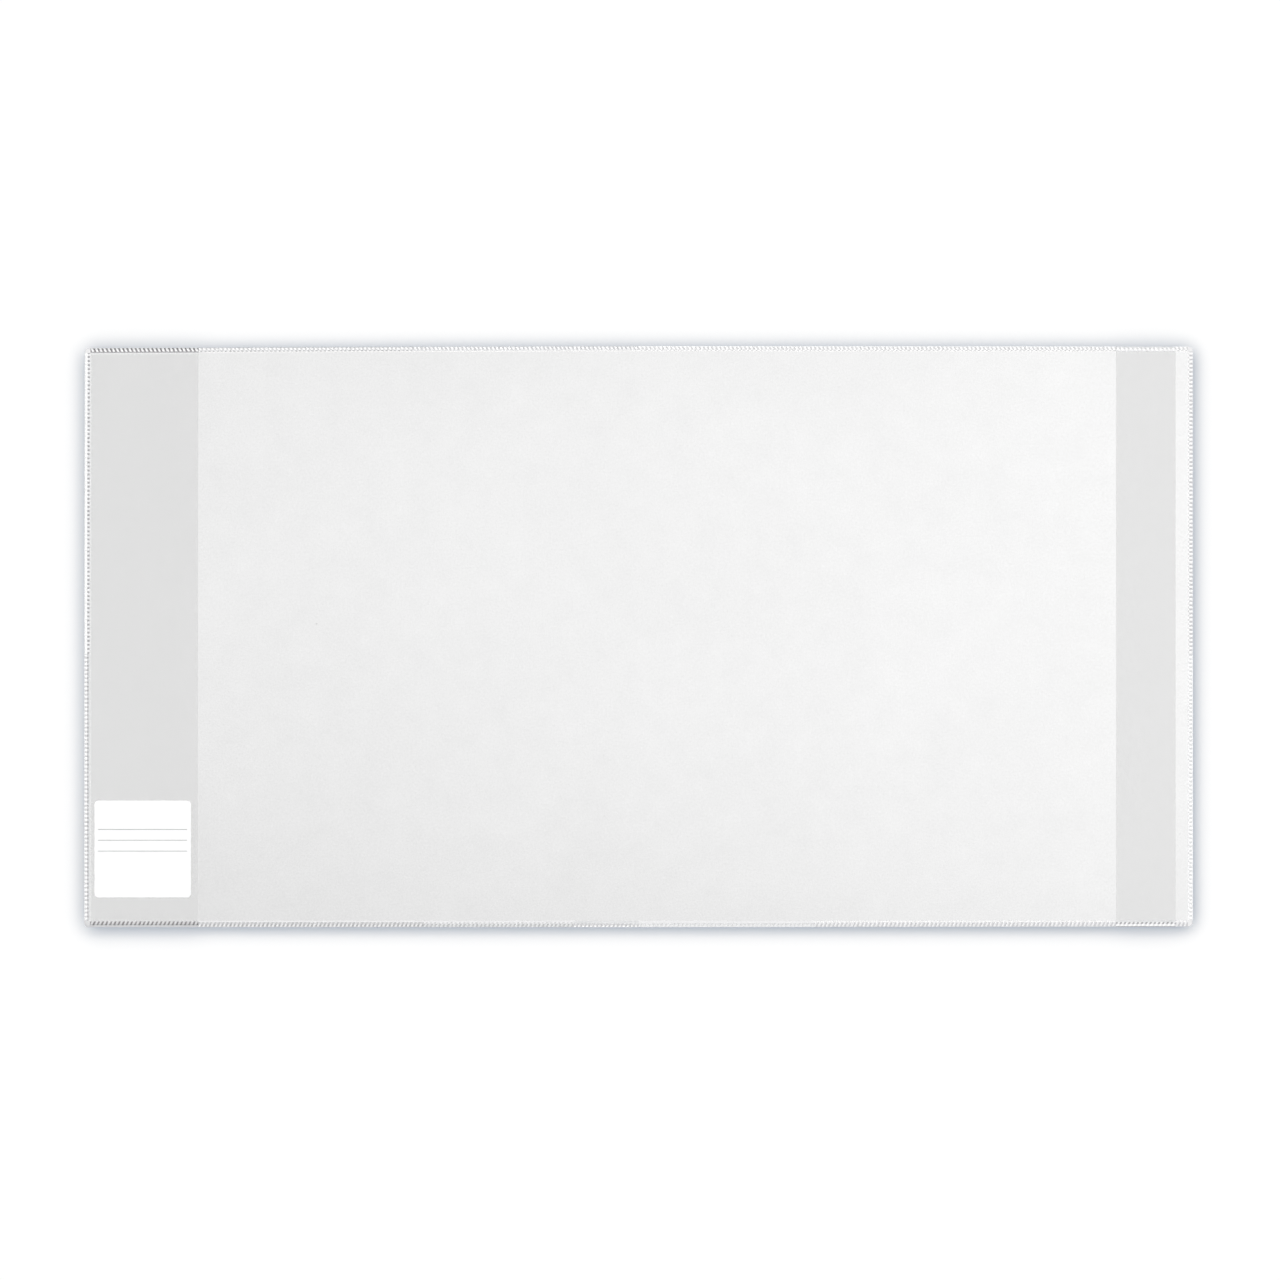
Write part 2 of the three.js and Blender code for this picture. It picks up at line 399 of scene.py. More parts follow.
def make_paper(name, colour, spread):
    """Smooth matt paper, with a faint mottle and fibres."""
    made, tree, surface = new_material(name)
    point = object_point(tree)
    fibre = noise(tree, point, **FIBRES)
    mottle = noise(tree, point, **PAPER_PATCHES)
    share = map_range(tree, mottle, *NOISE_RANGE, 1 - spread, 1.0)
    grey = add_node(tree, "ShaderNodeVectorMath", {0: colour, "Scale": share}, operation="SCALE").outputs[0]
    bump = {"Strength": 1.0, "Distance": FIBRE_RELIEF, "Height": fibre}
    normal = add_node(tree, "ShaderNodeBump", bump).outputs["Normal"]
    inputs = {
        "Base Color": grey,
        "Normal": normal,
        "Roughness": PAPER_ROUGHNESS,
        "Specular IOR Level": PAPER_SHINE,
    }
    paper = add_node(tree, "ShaderNodeBsdfPrincipled", inputs).outputs["BSDF"]
    tree.links.new(paper, surface)
    return made


# Meshes

def wave(x, y):
    """How far the film lifts from the table, from 0 to 1: slow swells and quicker ripples across them.

    Each number beside x and y is how far that wave turns in a metre, in radians. The others are where
    the waves start and how strong they are."""
    slow = np.sin(x * 23 + 0.6) * np.cos(y * 31 - 0.4)
    quick = np.sin(x * 61 - y * 17 + 1.1) * 0.5 + np.sin(y * 73 + x * 11) * 0.35
    return np.clip(0.5 + 0.28 * (slow + quick), 0, 1)


def hold_at_edges(x, y):
    """0 at the welds, which keep the film down, rising to 1 away from them."""
    from_sides = np.minimum(np.abs(x - OPEN_LEFT), np.abs(OPEN_RIGHT - x)) - WELD_WIDTH
    from_ends = TOP - WELD_WIDTH - np.abs(y)
    near = np.minimum(from_sides, from_ends)
    return np.clip(near / HOLD_REACH, 0, 1) ** 2


def flap_lift(x, y):
    """How far the flap stands off the cover film, beyond the slit: nothing at its welds, most in between."""
    along = np.clip(1 - (y / (TOP - WELD_WIDTH)) ** 2, 0, 1)
    from_left = np.clip((x - OPEN_LEFT - WELD_WIDTH) / (FLAP_EDGE - OPEN_LEFT - WELD_WIDTH), 0, 1)
    return FLAP_BULGE * along * from_left


def draw_in(points):
    """Moves points as the real outline is: some corners lie a little inside the rectangle."""
    x, y = points[:, 0] / OPEN_RIGHT, points[:, 1] / TOP
    for (side, end), (along_x, along_y) in CORNER_DRAW.items():
        near = (x * side > 0) & (y * end > 0)
        points[near, 0] -= (x * np.abs(y) ** DRAW_CURVE[0])[near] * along_x
        points[near, 1] -= (y * np.abs(x) ** DRAW_CURVE[1])[near] * along_y
    return points


def new_piece(name, points, faces, materials, choice):
    """A mesh object from points and faces, with choice giving each face its material."""
    mesh = bpy.data.meshes.new(name)
    mesh.from_pydata(draw_in(np.asarray(points, float)).tolist(), [], [list(map(int, f)) for f in faces])
    for each in materials:
        mesh.materials.append(each)
    mesh.polygons.foreach_set("material_index", np.asarray(choice, np.int32))
    mesh.validate()
    mesh.update()
    made = bpy.data.objects.new(name, mesh)
    bpy.context.scene.collection.objects.link(made)
    return made


def stations(start, end, *fine_at):
    """Steps from start to end, with fine steps round each fold in fine_at."""
    count = max(1, round((end - start) / MESH_STEP))
    steps = list(np.linspace(start, end, count + 1))
    for fold in fine_at:
        steps = [s for s in steps if abs(s - fold) > FOLD_REACH + FOLD_STEP or s in (start, end)]
        reach = round(2 * FOLD_REACH / FOLD_STEP) + 1
        steps += list(np.linspace(fold - FOLD_REACH, fold + FOLD_REACH, reach))
    return np.array(sorted(set(steps)))


def film_solid(name, xs, ys, low, high, materials, pick):
    """A closed thin sheet over the grid xs by ys, from height low(x, y) to high(x, y).

    pick gives the number of a face's material."""
    x, y = np.meshgrid(xs, ys, indexing="ij")
    sides = [np.stack([x, y, height(x, y)], axis=-1).reshape(-1, 3) for height in (low, high)]
    columns, rows = x.shape
    index = np.arange(columns * rows).reshape(columns, rows)
    a, b, c, d = index[:-1, :-1], index[1:, :-1], index[1:, 1:], index[:-1, 1:]
    quads = np.stack([a, b, c, d], axis=-1).reshape(-1, 4)
    above = quads + columns * rows
    below = quads[:, ::-1]
    rim = np.concatenate([index[:-1, 0], index[-1, :-1], index[:0:-1, -1], index[0, :0:-1]])
    after = np.roll(rim, -1)
    walls = np.stack([rim, after, after + columns * rows, rim + columns * rows], axis=-1)
    points = np.concatenate(sides)
    faces = np.concatenate([above, below, walls])
    middles = points[faces].mean(axis=1)
    choice = [pick(mx, my) for mx, my, _ in middles]
    return new_piece(name, points, faces, materials, choice)


def level(height):
    """A film's face that lies flat at this height."""
    return lambda x, y: np.full_like(x, height)


def cover_low(x, y):
    """The cover film's underside."""
    return FILM_WAVE * wave(x, y) * hold_at_edges(x, y)


def cover_high(x, y):
    """The cover film's upper side."""
    return cover_low(x, y) + FILM_TOP


def pocket_low(x, y):
    """The flap's underside."""
    return POCKET_LEVEL + flap_lift(x, y)


def pocket_high(x, y):
    """The flap's upper side."""
    return POCKET_TOP + flap_lift(x, y)


# How far in from the outer edge each side's weld is pressed, up to where the clear films start
TOP_WELD = 2.4 * MM
BOTTOM_WELD = 3.1 * MM
LEFT_WELD = 2.8 * MM
RIGHT_WELD = 2.4 * MM
FILM_LEFT, FILM_RIGHT = OPEN_LEFT + LEFT_WELD, OPEN_RIGHT - RIGHT_WELD
FILM_BOTTOM, FILM_TOP_END = BOTTOM_WELD - TOP, TOP - TOP_WELD

# The band's cut faces are those within this distance of its free edges
CUT_FACE = 0.01 * MM
# Painted highlights on the flap: light lines along its free edge, and next to the left and top welds
EDGE_HIGHLIGHT = 0.12 * MM
LEFT_HIGHLIGHT = 0.5 * MM
TOP_HIGHLIGHT = 0.8 * MM
# The tone of these painted highlights, and that of the band's real cut faces: colour, veil, the veil's
# spread and the gloss's roughness
CUT_EDGE_AND_HIGHLIGHT = ((0.65, 0.65, 0.66), 0.12, 0.03, 0.2)


def make_films():
    """The cover film in two halves that meet in the middle of the spine, the flap and the band."""
    grained = make_open_film()
    under_flap = make_smooth_film("cover_film_smooth", UNDER_FLAP_CLEAR, COVER_DRIFT)
    under_band = make_smooth_film("cover_film_under_band", UNDER_BAND_CLEAR, COVER_DRIFT)
    flap_film = make_smooth_film("flap_film", FLAP_CLEAR, FLAP_DRIFT, FLAP_PAINTED_SHADE, NO_SHADE)
    band_film = make_smooth_film("band_film", BAND_CLEAR, BAND_DRIFT, BAND_PAINTED_SHADE, NO_SHADE)
    cut_edge_and_highlight = make_weld_plastic("cut_edge_and_highlight", *CUT_EDGE_AND_HIGHLIGHT)
    ys = stations(FILM_BOTTOM, FILM_TOP_END)
    middle = (FRONT_FOLD + BACK_FOLD) / 2

    xs = np.union1d(stations(FILM_LEFT, FLAP_EDGE), stations(FLAP_EDGE, middle, FRONT_FOLD))
    front = film_solid(
        "front_cover_film", xs, ys, cover_low, cover_high, [grained, under_flap],
        lambda x, y: int(x < FLAP_EDGE),
    )
    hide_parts("front_panel_film", "spine_film")
    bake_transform(front)

    parts = (middle, BAND_LEFT, BACK_FOLD), (BAND_LEFT, BAND_RIGHT), (BAND_RIGHT, FILM_RIGHT)
    xs = np.unique(np.concatenate([stations(*part) for part in parts]))
    back = film_solid(
        "back_cover_film", xs, ys, cover_low, cover_high, [grained, under_band],
        lambda x, y: int(BAND_LEFT < x < BAND_RIGHT),
    )
    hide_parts("back_panel_film", "spine_film")
    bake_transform(back)

    # The flap's faces near its free edge and next to its left and top welds take the painted highlight
    line_right, line_left = FLAP_EDGE - EDGE_HIGHLIGHT, FILM_LEFT + LEFT_HIGHLIGHT
    highlight_top = FILM_TOP_END - TOP_HIGHLIGHT
    xs = np.union1d(stations(FILM_LEFT, FLAP_EDGE), [line_left, line_right])
    flap = film_solid(
        "front_flap_film", xs, np.union1d(ys, [highlight_top]), pocket_low, pocket_high, [flap_film, cut_edge_and_highlight],
        lambda x, y: int(x > line_right or x < line_left or y > highlight_top),
    )
    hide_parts("front_pocket_flap")
    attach(flap, "front_panel")

    xs = stations(BAND_LEFT, BAND_RIGHT)
    band = film_solid(
        "back_band_film", xs, ys, level(POCKET_LEVEL), level(POCKET_TOP), [band_film, cut_edge_and_highlight],
        lambda x, y: int(not BAND_LEFT + CUT_FACE < x < BAND_RIGHT - CUT_FACE),
    )
    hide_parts("back_board_band")
    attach(band, "back_panel")


# The tones of the pressed plastic, partly painted light: white ribs as painted highlights, dark gaps and
# margins as painted shade. Each gives colour, veil, the veil's spread and the gloss's roughness
TONES_AND_PAINTED_LIGHT = {
    "white": ((0.98, 0.98, 0.98), 0.85, 0.12, 0.3),
    "light": ((0.98, 0.96, 0.95), 0.34, 0.03, 0.2),
    "soft": ((0.79, 0.79, 0.8), 0.8, 0.1, 0.2),
    "pale": ((0.67, 0.68, 0.69), 0.8, 0.1, 0.2),
    "ash": ((0.6, 0.6, 0.61), 0.8, 0.1, 0.2),
    "grey": ((0.51, 0.51, 0.53), 0.8, 0.1, 0.2),
    "mid": ((0.415, 0.42, 0.43), 0.8, 0.1, 0.2),
    "dim": ((0.29, 0.29, 0.3), 0.8, 0.08, 0.2),
    "dark": ((0.13, 0.12, 0.13), 0.8, 0.06, 0.2),
    "black": ((0.1, 0.1, 0.1), 0.88, 0.05, 0.2),
}
TONE_NUMBERS = {name: number for number, name in enumerate(TONES_AND_PAINTED_LIGHT)}


def press(margin, change, end, rib_tones_and_light):
    """How a stretch of weld is pressed, from its outer edge inwards, in mm.

    margin is where its plain edge ends, change is where its outer ribs give way to the inner ones,
    and end is where those stop. The fourth names six tones, which paint highlights on the ribs and shade in
    the gaps
    and under the margin: the margin's, the outer ribs' and the gaps' between them, the inner ribs' and the
    gaps' between them, and that of the line along the inner edge."""
    return [distance * MM for distance in (margin, change, end)], rib_tones_and_light.split()


FLAP_TOP = press(0.15, 0.8, 1.75, "pale pale black white dark dim")
FLAP_BOTTOM = press(0.95, 1.65, 2.75, "grey mid black ash dark pale")
LEFT_UPPER = press(0.35, 1.45, 2.5, "pale white white soft dim soft")
LEFT_LOWER = press(0.2, 1.5, 2.0, "pale white ash grey dim pale")
FRONT_TOP_LEFT = press(0.25, 1.4, 2.0, "mid white ash mid soft light")
FRONT_TOP = press(0.2, 1.4, 1.95, "ash white grey soft pale light")
BACK_TOP = press(0.2, 1.7, 2.05, "white white ash ash white light")
BAND_TOP = press(0.6, 1.3, 2.0, "pale white ash white soft pale")
FRONT_BOTTOM = press(0.25, 1.3, 2.35, "ash soft dim ash mid soft")
INNER_BOTTOM = press(0.1, 1.7, 2.4, "ash pale mid ash soft soft")
SPINE_BOTTOM = press(0.2, 0.8, 1.75, "soft white mid ash grey pale")
MIDDLE_BOTTOM = press(0.25, 1.3, 1.75, "soft pale soft ash pale soft")
BACK_BOTTOM = press(0.15, 2.2, 2.7, "ash soft grey soft light soft")
BAND_BOTTOM = press(0.25, 1.2, 2.2, "dark white soft soft dim pale")
RIGHT_UPPER = press(0.15, 1.75, 2.05, "soft white grey ash white light")
RIGHT_LOWER = press(0.3, 1.75, 2.1, "white white pale soft white soft")
# The tones of each corner, which paint its shade: its margin's and its middle's
TOP_LEFT_CORNER = ("pale", "soft")
BOTTOM_LEFT_CORNER = ("grey", "ash")
BOTTOM_RIGHT_CORNER = ("pale", "soft")
TOP_RIGHT_CORNER = ("soft", "soft")
# Where the pressing changes: up the page on the left and the right, across it at the top and the bottom
LEFT_CHANGE = -8 * MM
RIGHT_CHANGE = -9 * MM
TOP_CHANGE = -110 * MM
BOTTOM_CHANGES = (-105 * MM, -32 * MM, 85 * MM)
# The plain joint between two stretches
STRETCH_GAP = 0.3 * MM
# Points of a weld's mesh that lie within this of each other are one
MERGE_REACH = 0.001 * MM


def section_rows(rows, width):
    """The distances of a section's points from the weld's outer edge."""
    margin, change, end = rows
    return (0.0, margin, margin + RIB_SLOPE, change, end, end + RIB_SLOPE, width)


def rib_stations(length):
    """Where the section changes along a straight weld, and how high the ribs stand there, from 0 to 1."""
    ribs = max(1, round(length / RIB_PITCH))
    pitch = length / ribs
    start, stop = (1 - RIB_FILL) / 2, (1 + RIB_FILL) / 2
    shares = (start, 0), (start + RIB_FLANK, 1), (stop - RIB_FLANK, 1), (stop, 0)
    inner = [((rib + share) * pitch, height) for rib in range(ribs) for share, height in shares]
    return [(0.0, 0)] + inner + [(length, 0)]


def weld_strip(start, along, inward, length, width, crest, slant, pressed):
    """Sections of a straight ribbed weld, and the finish of each face between them.

    start is the outer corner where it begins. along and inward are unit directions. A section goes up the
    outer side, across the top through its rows and down the inner side. The rows from the third to the
    fifth, between the margin and the inner line, rise with the ribs."""
    rows, rib_tones_and_light = pressed
    stops = rib_stations(length)
    valley = crest - RIB_HEIGHT
    across_rows = section_rows(rows, width)
    rib_middle = (across_rows[1] + across_rows[-2]) / 2
    sections = []
    for place, height in stops:
        loop = [np.append(start + along * place, 0.0)]
        for row, across in enumerate(across_rows):
            leans = 0 < place < length and 0 < row < len(across_rows) - 1
            lean = slant * (across - rib_middle) if leans else 0.0
            lift = RIB_HEIGHT * height if 2 <= row <= 4 else 0.0
            flat = start + along * (place + lean) + inward * across
            loop.append(np.append(flat, valley + lift))
        loop.append(np.append(start + along * place + inward * across_rows[-1], 0.0))
        sections.append(loop)
    # Light ribs are painted highlights, and dark gaps and margins are painted shade
    margin, outer_rib, outer_gap, inner_rib, inner_gap, line = rib_tones_and_light
    rib = ["pale", margin, outer_rib, outer_rib, inner_rib, inner_rib, line, "light", "light"]
    gap = ["pale", margin, outer_gap, outer_gap, inner_gap, inner_gap, line, "light", "light"]
    heights = [height for _, height in stops]
    kinds = [rib if a + b > 0 else gap for a, b in zip(heights[:-1], heights[1:])]
    return sections, kinds


def weld_corner(corner, first, second, crest, widths, presses, look):
    """Sections that turn a weld round a rounded corner, from one side's width and pressing to the other's.

    first and second point from the corner, back along the first side and on along the second."""
    width_from, width_to = widths
    press_from, press_to = presses
    valley = crest - RIB_HEIGHT
    pivot = corner + first * width_to + second * width_from
    centre = corner + (first + second) * CORNER_RADIUS
    shares_from = [across / width_from for across in section_rows(press_from[0], width_from)]
    shares_to = [across / width_to for across in section_rows(press_to[0], width_to)]
    bends = [corner + first * width_to]
    for step in range(CORNER_STEPS + 1):
        turn = math.pi / 2 * step / CORNER_STEPS
        bends.append(centre - (second * math.cos(turn) + first * math.sin(turn)) * CORNER_RADIUS)
    bends.append(corner + second * width_from)
    sections = []
    for number, outer in enumerate(bends):
        turned = number / (len(bends) - 1)
        shares = [a + (b - a) * turned for a, b in zip(shares_from, shares_to)]
        loop = [np.append(outer, 0.0)]
        loop += [np.append(outer + (pivot - outer) * share, valley) for share in shares]
        loop.append(np.append(pivot, 0.0))
        sections.append(loop)
    margin, middle = look
    kind = ["pale", margin, margin, middle, middle, "light", "light", "light", "light"]
    return sections, [kind] * (len(bends) - 1)


def join_sections(name, runs, materials):
    """A closed tube through the sections of these runs, in order, with flat ends."""
    sections, kinds = [], []
    for run, run_kinds in runs:
        if sections:
            kinds.append(kinds[-1])
        sections += run
        kinds += run_kinds
    size = len(sections[0])
    points = np.array([point for section in sections for point in section])
    faces, choice = [], []
    for number, kind in enumerate(kinds):
        for side in range(size):
            a, b = number * size + side, number * size + (side + 1) % size
            faces.append((a, a + size, b + size, b))
            choice.append(TONE_NUMBERS[kind[side]])
    faces.append(tuple(range(size)))
    faces.append(tuple((len(sections) - 1) * size + side for side in reversed(range(size))))
    choice += [TONE_NUMBERS["pale"]] * 2
    made = new_piece(name, points, faces, materials, choice)
    tidy_mesh(made)
    return made


def tidy_mesh(piece):
    """Merges points that coincide, drops faces that collapsed and turns all faces outwards."""
    work = bmesh.new()
    work.from_mesh(piece.data)
    bmesh.ops.remove_doubles(work, verts=work.verts, dist=MERGE_REACH)
    bmesh.ops.dissolve_degenerate(work, edges=work.edges, dist=MERGE_REACH)
    bmesh.ops.recalc_face_normals(work, faces=work.faces)
    work.to_mesh(piece.data)
    work.free()
    piece.data.update()


RIGHTWARDS, UPWARDS = np.array([1.0, 0.0]), np.array([0.0, 1.0])


def stretches(stops, presses):
    """The start, the end and the pressing of each stretch between these stops.

    A short gap parts two stretches."""
    way = np.sign(stops[-1] - stops[0])
    for number, pressed in enumerate(presses):
        gap = way * STRETCH_GAP if number else 0.0
        yield stops[number] + gap, stops[number + 1], pressed


def level_runs(side, crest, stops, *presses):
    """A weld along the top (side 1) or the bottom (side -1) through these stops.

    Each stretch between them has its pressing."""
    width = TOP_WELD if side > 0 else BOTTOM_WELD
    runs = []
    for x_from, x_to, pressed in stretches(stops, presses):
        way = np.sign(x_to - x_from)
        start = np.array([x_from, side * TOP])
        inward = -side * UPWARDS
        length, slant = abs(x_to - x_from), way * RIB_SLANT
        runs.append(weld_strip(start, RIGHTWARDS * way, inward, length, width, crest, slant, pressed))
    return runs


def upright_runs(side, crest, stops, *presses):
    """A weld along the left (side -1) or the right (side 1) through these stops.

    Each stretch between them has its pressing."""
    width = RIGHT_WELD if side > 0 else LEFT_WELD
    outer = OPEN_RIGHT if side > 0 else OPEN_LEFT
    runs = []
    for y_from, y_to, pressed in stretches(stops, presses):
        way = np.sign(y_to - y_from)
        start = np.array([outer, y_from])
        inward = -side * RIGHTWARDS
        length = abs(y_to - y_from)
        runs.append(weld_strip(start, UPWARDS * way, inward, length, width, crest, 0.0, pressed))
    return runs


def make_pocket_weld(materials):
    """The weld on three sides of the flap."""
    right, up, crest = RIGHTWARDS, UPWARDS, DOUBLE_CREST
    top_left, bottom_left = np.array([OPEN_LEFT, TOP]), np.array([OPEN_LEFT, -TOP])
    runs = [
        *level_runs(1, crest, (FLAP_EDGE, FILM_LEFT), FLAP_TOP),
        weld_corner(
            top_left, right, -up, crest, (TOP_WELD, LEFT_WELD), (FLAP_TOP, LEFT_UPPER), TOP_LEFT_CORNER
        ),
        *upright_runs(-1, crest, (FILM_TOP_END, LEFT_CHANGE, FILM_BOTTOM), LEFT_UPPER, LEFT_LOWER),
        weld_corner(
            bottom_left, up, right, crest, (LEFT_WELD, BOTTOM_WELD), (LEFT_LOWER, FLAP_BOTTOM),
            BOTTOM_LEFT_CORNER,
        ),
        *level_runs(-1, crest, (FILM_LEFT, FLAP_EDGE), FLAP_BOTTOM),
    ]
    weld = join_sections("front_pocket_weld", runs, materials)
    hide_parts("front_edge_weld", "front_pocket_top_weld", "front_pocket_bottom_weld")
    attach(weld, "front_panel")


def make_level_welds(materials):
    """The welds along the top and the bottom, in two halves that meet in the middle of the spine."""
    middle = (FRONT_FOLD + BACK_FOLD) / 2
    first, second, last = BOTTOM_CHANGES
    sides = (
        (
            1, "top",
            ((FLAP_EDGE, TOP_CHANGE, middle), FRONT_TOP_LEFT, FRONT_TOP),
            ((middle, BAND_LEFT), BACK_TOP),
        ),
        (
            -1, "bottom",
            ((FLAP_EDGE, first, second, middle), FRONT_BOTTOM, INNER_BOTTOM, SPINE_BOTTOM),
            ((middle, last, BAND_LEFT), MIDDLE_BOTTOM, BACK_BOTTOM),
        ),
    )
    for side, place, front_stretches, back_stretches in sides:
        runs = level_runs(side, SINGLE_CREST, *front_stretches)
        front = join_sections(f"front_{place}_weld_strip", runs, materials)
        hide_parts(f"front_{place}_weld", f"spine_{place}_weld")
        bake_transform(front)
        runs = level_runs(side, SINGLE_CREST, *back_stretches)
        back = join_sections(f"back_{place}_weld_strip", runs, materials)
        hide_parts(f"back_{place}_weld", f"spine_{place}_weld")
        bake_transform(back)


def make_band_welds(materials):
    """The welds that hold the band's two ends."""
    for side, place, pressed in (1, "top", BAND_TOP), (-1, "bottom", BAND_BOTTOM):
        runs = level_runs(side, DOUBLE_CREST, (BAND_LEFT, BAND_RIGHT), pressed)
        weld = join_sections(f"band_{place}_weld_strip", runs, materials)
        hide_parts(f"back_band_{place}_weld")
        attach(weld, "back_panel")


def make_back_edge_weld(materials):
    """The weld round the right edge, from the band's bottom end to its top end."""
    right, up, crest = RIGHTWARDS, UPWARDS, SINGLE_CREST
    bottom_right, top_right = np.array([OPEN_RIGHT, -TOP]), np.array([OPEN_RIGHT, TOP])
    runs = [
        *level_runs(-1, crest, (BAND_RIGHT, FILM_RIGHT), BACK_BOTTOM),
        weld_corner(
            bottom_right, -right, up, crest, (BOTTOM_WELD, RIGHT_WELD), (BACK_BOTTOM, RIGHT_LOWER),
            BOTTOM_RIGHT_CORNER,
        ),
        *upright_runs(1, crest, (FILM_BOTTOM, RIGHT_CHANGE, FILM_TOP_END), RIGHT_LOWER, RIGHT_UPPER),
        weld_corner(
            top_right, -up, -right, crest, (RIGHT_WELD, TOP_WELD), (RIGHT_UPPER, BACK_TOP), TOP_RIGHT_CORNER
        ),
        *level_runs(1, crest, (FILM_RIGHT, BAND_RIGHT), BACK_TOP),
    ]
    weld = join_sections("back_edge_weld_strip", runs, materials)
    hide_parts("back_edge_weld", "back_corner_top_weld", "back_corner_bottom_weld")
    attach(weld, "back_panel")


def make_welds():
    """The ribbed welds round the whole edge."""
    materials = [make_weld_plastic(f"weld_{name}", *recipe) for name, recipe in TONES_AND_PAINTED_LIGHT.items()]
    make_pocket_weld(materials)
    make_level_welds(materials)
    make_band_welds(materials)
    make_back_edge_weld(materials)


# The label's writing lines: how far in from its sides, how far down from its top, and how thick
LINE_INSETS = (1.7 * MM, 1.9 * MM)
LINE_DROPS = tuple(d * MM for d in (14.0, 19.2, 24.5))
LINE_THICKNESS = 0.28 * MM
# The label's corners, its soft upper edge, the glue under it, and the strips in which it bends with the flap
LABEL_RADIUS = 2 * MM
LABEL_BEVEL = 0.03 * MM
LABEL_GLUE = 0.02 * MM
LABEL_STRIPS = 6
# The upper face's parts are those whose normal rises by more than this
LABEL_FACES_UP = 0.9
# Its paper and its ink, and how much darker the mottle makes each in places
PAPER_WHITE = (0.975, 0.975, 0.975)
PAPER_MOTTLE = 0.012
INK_GREY = (0.33, 0.33, 0.34)
INK_MOTTLE = 0.15


def make_label():
    """The paper label on the flap, with three printed writing lines."""
    paper = make_paper("label_paper", PAPER_WHITE, PAPER_MOTTLE)
    ink = make_paper("label_ink", INK_GREY, INK_MOTTLE)
    low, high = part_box("name_label")
    underside = low.z + LABEL_GLUE
    work = bmesh.new()
    rim = []
    corners = ((1, 1), (-1, 1), (-1, -1), (1, -1))
    for number, (sx, sy) in enumerate(corners):
        cx = (high.x if sx > 0 else low.x) - sx * LABEL_RADIUS
        cy = (high.y if sy > 0 else low.y) - sy * LABEL_RADIUS
        for step in range(CORNER_STEPS + 1):
            turn = math.pi / 2 * (number + step / CORNER_STEPS)
            rim.append((cx + LABEL_RADIUS * math.cos(turn), cy + LABEL_RADIUS * math.sin(turn)))
    bottom = work.faces.new([work.verts.new((x, y, underside)) for x, y in rim])
    lifted = bmesh.ops.extrude_face_region(work, geom=[bottom])["geom"]
    for vertex in lifted:
        if isinstance(vertex, bmesh.types.BMVert):
            vertex.co.z = high.z
    bmesh.ops.recalc_face_normals(work, faces=work.faces)
    top_edges = [e for e in work.edges if all(v.co.z > (low.z + high.z) / 2 for v in e.verts)]
    bmesh.ops.bevel(work, geom=top_edges, offset=LABEL_BEVEL, segments=2, affect="EDGES")

    def cut(place, normal):
        """Parts the label's faces where the plane through this place crosses them."""
        every = work.verts[:] + work.edges[:] + work.faces[:]
        bmesh.ops.bisect_plane(work, geom=every, plane_co=place, plane_no=normal)

    line_left, line_right = low.x + LINE_INSETS[0], high.x - LINE_INSETS[1]
    for x in (line_left, line_right):
        cut((x, 0, 0), (1, 0, 0))
    for drop in LINE_DROPS:
        for edge in (drop, drop + LINE_THICKNESS):
            cut((0, high.y - edge, 0), (0, 1, 0))
    for step in range(1, LABEL_STRIPS):
        cut((low.x + (high.x - low.x) * step / LABEL_STRIPS, 0, 0), (1, 0, 0))
    for face in work.faces:
        middle = face.calc_center_median()
        drop = high.y - middle.y
        printed = any(d < drop < d + LINE_THICKNESS for d in LINE_DROPS)
        inside = line_left < middle.x < line_right
        face.material_index = int(printed and inside and face.normal.z > LABEL_FACES_UP)
    points = np.array([v.co[:] for v in work.verts])
    lift = flap_lift(points[:, 0], points[:, 1])
    points = draw_in(points)
    for vertex, place, rise in zip(work.verts, points, lift):
        vertex.co = (place[0], place[1], place[2] + rise)
    mesh = bpy.data.meshes.new("name_label_sheet")
    work.to_mesh(mesh)
    work.free()
    mesh.materials.append(paper)
    mesh.materials.append(ink)
    label = bpy.data.objects.new("name_label_sheet", mesh)
    bpy.context.scene.collection.objects.link(label)
    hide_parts("name_label")
    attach(label, "front_panel")


# The stage

def make_camera():
    """Looks straight down, as far off as a studio camera on a copy stand."""
    data = bpy.data.cameras.new("camera")
    data.sensor_width = SENSOR
    data.lens = SENSOR * CAMERA_HEIGHT / PHOTO_SPAN
    made = bpy.data.objects.new("camera", data)
    made.location = (*PHOTO_MIDDLE, CAMERA_HEIGHT)
    bpy.context.scene.collection.objects.link(made)
    bpy.context.scene.camera = made


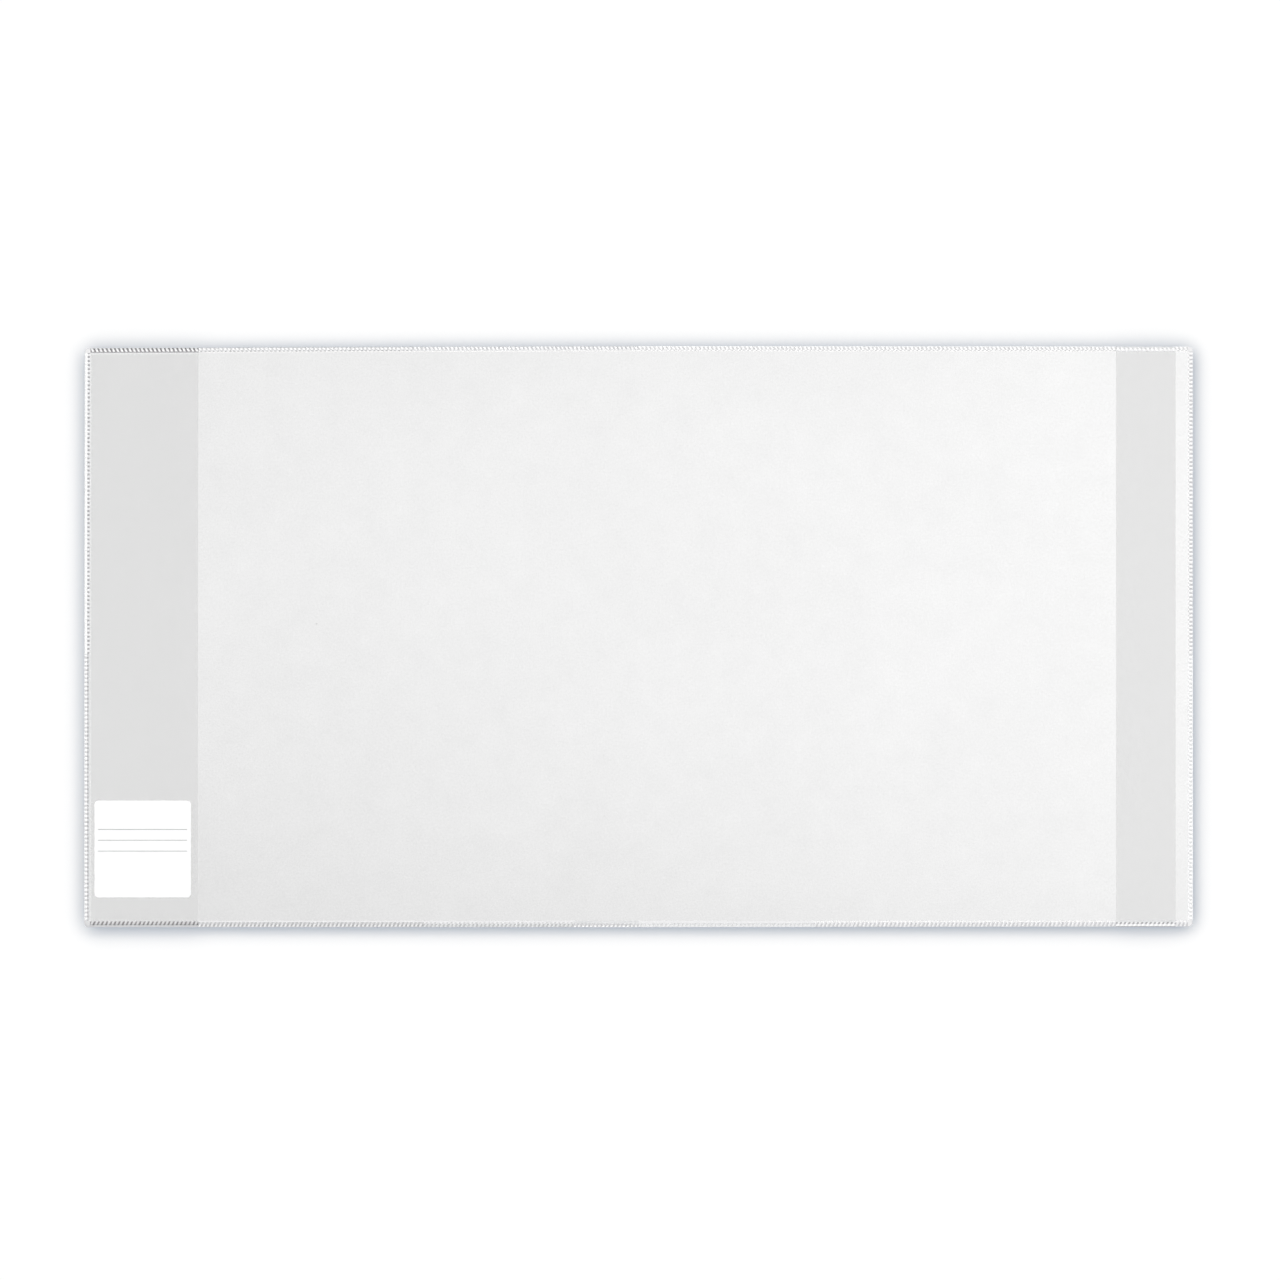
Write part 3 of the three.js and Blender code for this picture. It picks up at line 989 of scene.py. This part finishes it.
def make_floor():
    """A white floor that keeps the cover's shadow. Seen through the clear films, it is plain white."""
    half = FLOOR_SIZE / 2
    mesh = bpy.data.meshes.new("floor")
    corners = [(sx * half, sy * half, -FLOOR_DROP) for sx, sy in ((-1, -1), (1, -1), (1, 1), (-1, 1))]
    mesh.from_pydata(corners, [], [(0, 1, 2, 3)])
    made, tree, surface = new_material("floor_white")
    path = add_node(tree, "ShaderNodeLightPath").outputs
    pale = add_node(tree, "ShaderNodeBsdfDiffuse", {"Color": (FLOOR_PALE,) * 3 + (1,)}).outputs[0]
    lift = add_node(
        tree, "ShaderNodeEmission", {"Strength": maths(tree, "MULTIPLY", path["Is Camera Ray"], FLOOR_LIFT)}
    ).outputs[0]
    open_floor = add_node(tree, "ShaderNodeAddShader", {0: pale, 1: lift}).outputs[0]
    seen_through = add_node(tree, "ShaderNodeEmission", {"Strength": 1.0}).outputs[0]
    behind = maths(tree, "GREATER_THAN", path["Transparent Depth"], 0.5)
    tree.links.new(mix_shader(tree, behind, open_floor, seen_through), surface)
    mesh.materials.append(made)
    floor = bpy.data.objects.new("floor", mesh)
    bpy.context.scene.collection.objects.link(floor)


def make_sky():
    """The studio's soft light, with plain white where the camera or a gloss sees it."""
    world = bpy.data.worlds.new("studio")
    world.use_nodes = True
    tree = world.node_tree
    tree.nodes.clear()
    direction = add_node(tree, "ShaderNodeTexCoord").outputs["Generated"]
    height = add_node(tree, "ShaderNodeSeparateXYZ", {0: direction}).outputs["Z"]
    ring = maths(
        tree, "MULTIPLY",
        map_range(tree, height, *RING_RISE, 0.0, 1.0, smooth=True),
        map_range(tree, height, *RING_FALL, 1.0, 0.0, smooth=True),
    )
    lean = add_node(
        tree, "ShaderNodeVectorMath", {0: direction, 1: RING_LEAN}, operation="DOT_PRODUCT"
    ).outputs["Value"]
    ring = maths(tree, "MULTIPLY", ring, maths(tree, "ADD", lean, 1.0))
    power = maths(tree, "MULTIPLY_ADD", ring, SKY_RING, SKY_EVEN)
    light = add_node(tree, "ShaderNodeBackground", {"Color": WHITE, "Strength": power}).outputs[0]
    white = add_node(tree, "ShaderNodeBackground", {"Color": WHITE, "Strength": 1.0}).outputs[0]
    path = add_node(tree, "ShaderNodeLightPath").outputs
    shown = maths(tree, "MAXIMUM", path["Is Camera Ray"], path["Is Glossy Ray"])
    shown = maths(tree, "MAXIMUM", shown, path["Is Transmission Ray"])
    output = add_node(tree, "ShaderNodeOutputWorld")
    tree.links.new(mix_shader(tree, shown, light, white), output.inputs["Surface"])
    bpy.context.scene.world = world


# Folded shut, the cover puts many clear faces behind each other
CLEAR_FACES = 48

make_camera()
make_films()
make_welds()
make_label()
make_floor()
make_sky()
bpy.context.scene.view_settings.view_transform = "Standard"
bpy.context.scene.cycles.transparent_max_bounces = CLEAR_FACES
